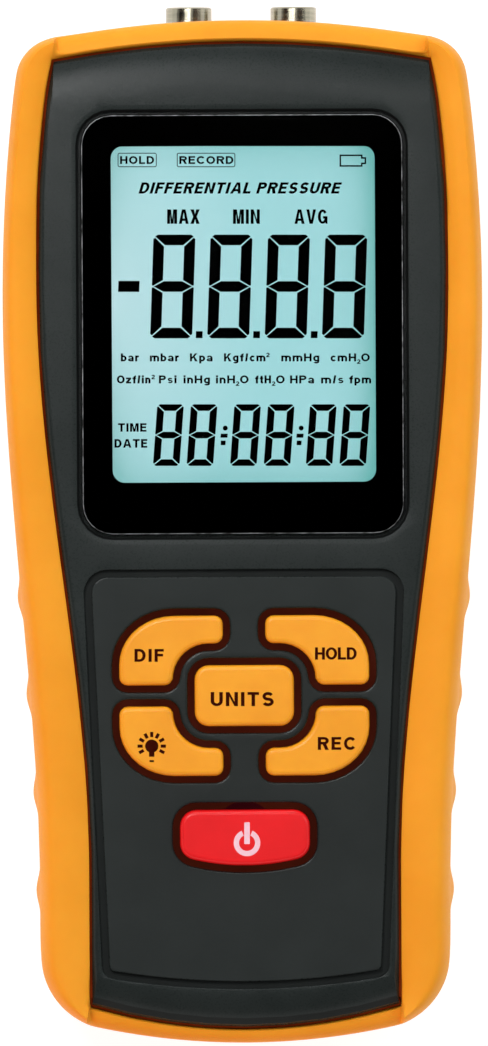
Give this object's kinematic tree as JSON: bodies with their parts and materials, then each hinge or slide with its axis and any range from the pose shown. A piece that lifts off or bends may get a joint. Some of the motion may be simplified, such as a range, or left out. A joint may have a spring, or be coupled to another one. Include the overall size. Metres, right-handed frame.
{
  "type": "digital manometer",
  "caption": "Hand-held digital pressure gauge in a rolled-lip rubber holster, with a segment display, sprung rubber keys, two hose ports on its top end and a battery door on its back.",
  "frame": {"origin": "middle of the footprint on the surface that the holster's back rests on; the meter lies on its back", "axes": "+Z out of the display side, +Y towards the end with the pressure ports, +X to the right of the display"},
  "size_m": [0.0752, 0.1622, 0.0384],
  "materials": {
    "holster_rubber": "satin moulded rubber",
    "shell_plastic": "fine-grained dark moulding",
    "lens_clear": "polished clear window",
    "tape_black": "black adhesive film",
    "lcd_teal": "backlit display glass",
    "bezel_black": "moulded black",
    "light_guide": "milky light guide",
    "contact_rubber": "layered contact rubber",
    "board_green": "solder resist",
    "chip_black": "moulded chip bodies",
    "key_orange": "satin silicone rubber",
    "key_red": "satin silicone rubber",
    "carbon": "matte conductive rubber",
    "nickel": "turned and nickel plated",
    "nut_brass": "turned",
    "seal_rubber": "matte rubber",
    "tube_rubber": "translucent silicone rubber",
    "sensor_plastic": "moulded sensor body",
    "inlet_metal": "drawn sheet",
    "battery_case": "plain painted can",
    "snap_plastic": "soft moulded snap",
    "lead_red": "insulated wire",
    "lead_black": "insulated wire",
    "foam_grey": "closed-cell foam",
    "screw_steel": "zinc plated"
  },
  "bodies": {
    "case": {"holster": "holster_rubber", "front_shell": "shell_plastic", "rear_shell": "shell_plastic", "lens_window": "lens_clear", "lens_tape": "tape_black", "lcd_glass": "lcd_teal", "lcd_bezel": "bezel_black", "backlight": "light_guide", "zebra_strips": "contact_rubber", "pcb": "board_green", "pcb_components": "chip_black", "keypad_mat": "key_orange", "port_high": "nickel", "port_low": "nickel", "port_nuts": "nut_brass", "port_seals": "seal_rubber", "tube_high": "tube_rubber", "tube_low": "tube_rubber", "pressure_sensor": "sensor_plastic", "usb_socket": "inlet_metal", "battery": "battery_case", "battery_snap": "snap_plastic", "lead_positive": "lead_red", "lead_negative": "lead_black", "case_screws": "screw_steel", "pcb_screws": "screw_steel", "dome_dif": "key_orange", "dome_hold": "key_orange", "dome_units": "key_orange", "dome_light": "key_orange", "dome_rec": "key_orange", "dome_power": "key_red"},
    "key_dif": {"key_dif": "key_orange", "pill_dif": "carbon"},
    "key_hold": {"key_hold": "key_orange", "pill_hold": "carbon"},
    "key_units": {"key_units": "key_orange", "pill_units": "carbon"},
    "key_light": {"key_light": "key_orange", "pill_light": "carbon"},
    "key_rec": {"key_rec": "key_orange", "pill_rec": "carbon"},
    "key_power": {"key_power": "key_red", "pill_power": "carbon"},
    "battery_door": {"battery_door": "shell_plastic", "door_foam": "foam_grey"}
  },
  "joints": [
    {"name": "press_dif", "type": "slide", "parent": "case", "child": "key_dif", "axis": [0, 0, -1], "range_m": [0, 0.001], "stiffness_N_per_m": 900, "springref_m": -0.0005, "deforming": ["dome_dif"]},
    {"name": "press_hold", "type": "slide", "parent": "case", "child": "key_hold", "axis": [0, 0, -1], "range_m": [0, 0.001], "stiffness_N_per_m": 900, "springref_m": -0.0005, "deforming": ["dome_hold"]},
    {"name": "press_units", "type": "slide", "parent": "case", "child": "key_units", "axis": [0, 0, -1], "range_m": [0, 0.001], "stiffness_N_per_m": 900, "springref_m": -0.0005, "deforming": ["dome_units"]},
    {"name": "press_light", "type": "slide", "parent": "case", "child": "key_light", "axis": [0, 0, -1], "range_m": [0, 0.001], "stiffness_N_per_m": 900, "springref_m": -0.0005, "deforming": ["dome_light"]},
    {"name": "press_rec", "type": "slide", "parent": "case", "child": "key_rec", "axis": [0, 0, -1], "range_m": [0, 0.001], "stiffness_N_per_m": 900, "springref_m": -0.0005, "deforming": ["dome_rec"]},
    {"name": "press_power", "type": "slide", "parent": "case", "child": "key_power", "axis": [0, 0, -1], "range_m": [0, 0.001], "stiffness_N_per_m": 900, "springref_m": -0.0005, "deforming": ["dome_power"]},
    {"name": "battery_door_hinge", "type": "hinge", "parent": "case", "child": "battery_door", "pos_m": [0, -0.0666, 0.0006], "axis": [-1, 0, 0], "range_deg": [0, 60]}
  ]
}
